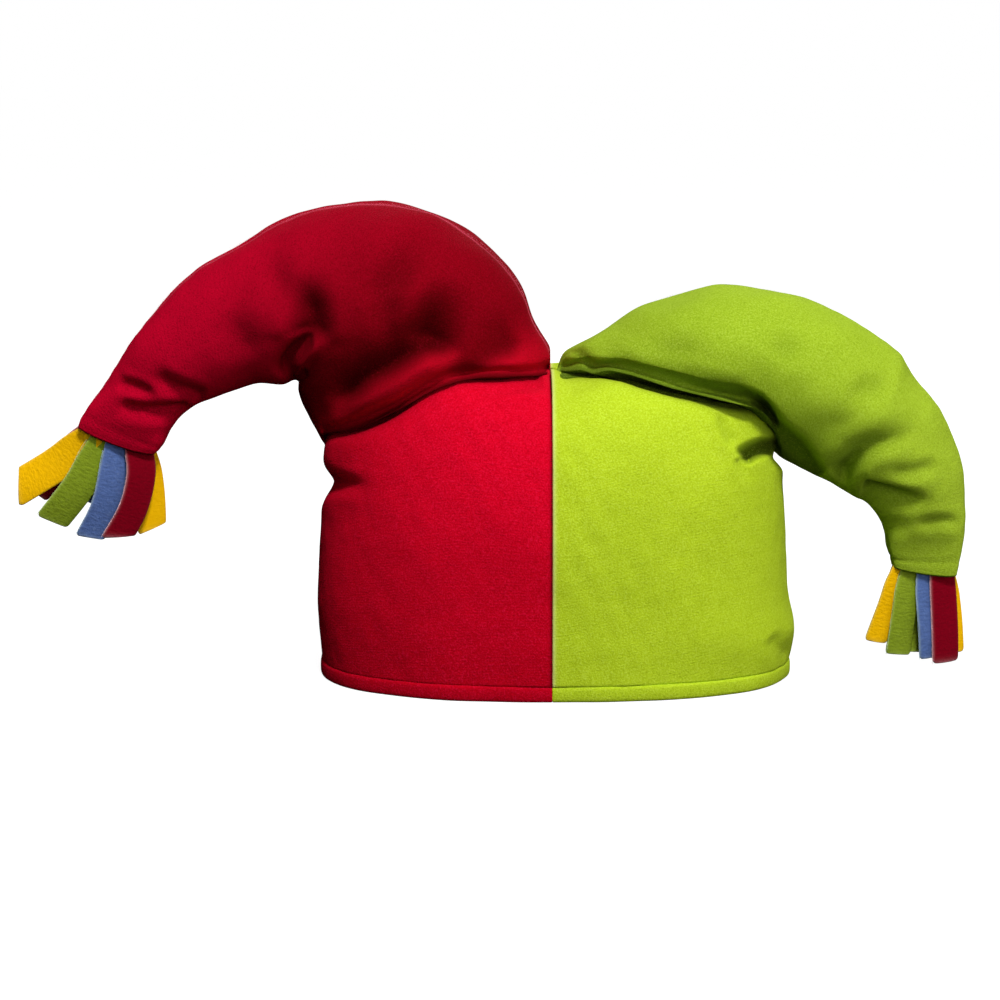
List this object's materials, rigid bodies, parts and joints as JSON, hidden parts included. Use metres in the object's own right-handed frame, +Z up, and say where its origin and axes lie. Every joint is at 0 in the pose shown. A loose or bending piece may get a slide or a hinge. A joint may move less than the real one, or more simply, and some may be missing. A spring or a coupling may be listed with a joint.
{
  "type": "jester hat",
  "caption": "Soft hollow two-coloured hat with a stuffed horn flopping out to each side and a tassel of fleece strips at each tip.",
  "frame": {"origin": "middle of the hat's footprint, on the surface that its rim rests on", "axes": "+X from the red half to the green half, +Y to the back, +Z up"},
  "size_m": [0.4326, 0.1368, 0.2109],
  "materials": {
    "red_cloth": "brushed stretch knit with a short nap, matt",
    "green_cloth": "brushed stretch knit with a short nap, matt",
    "fleece_yellow": "cut fleece with pale fuzzy edges, matt",
    "fleece_green": "cut fleece with pale fuzzy edges, matt",
    "fleece_blue": "cut fleece with pale fuzzy edges, matt",
    "fleece_red": "cut fleece with pale fuzzy edges, matt"
  },
  "bodies": {
    "root": {"crown_red": "red_cloth", "crown_green": "green_cloth", "rim_band_red": "red_cloth", "rim_band_green": "green_cloth", "horn_red": "red_cloth", "horn_green": "green_cloth", "tassel_red": "fleece_yellow", "tassel_green": "fleece_yellow"}
  },
  "joints": []
}
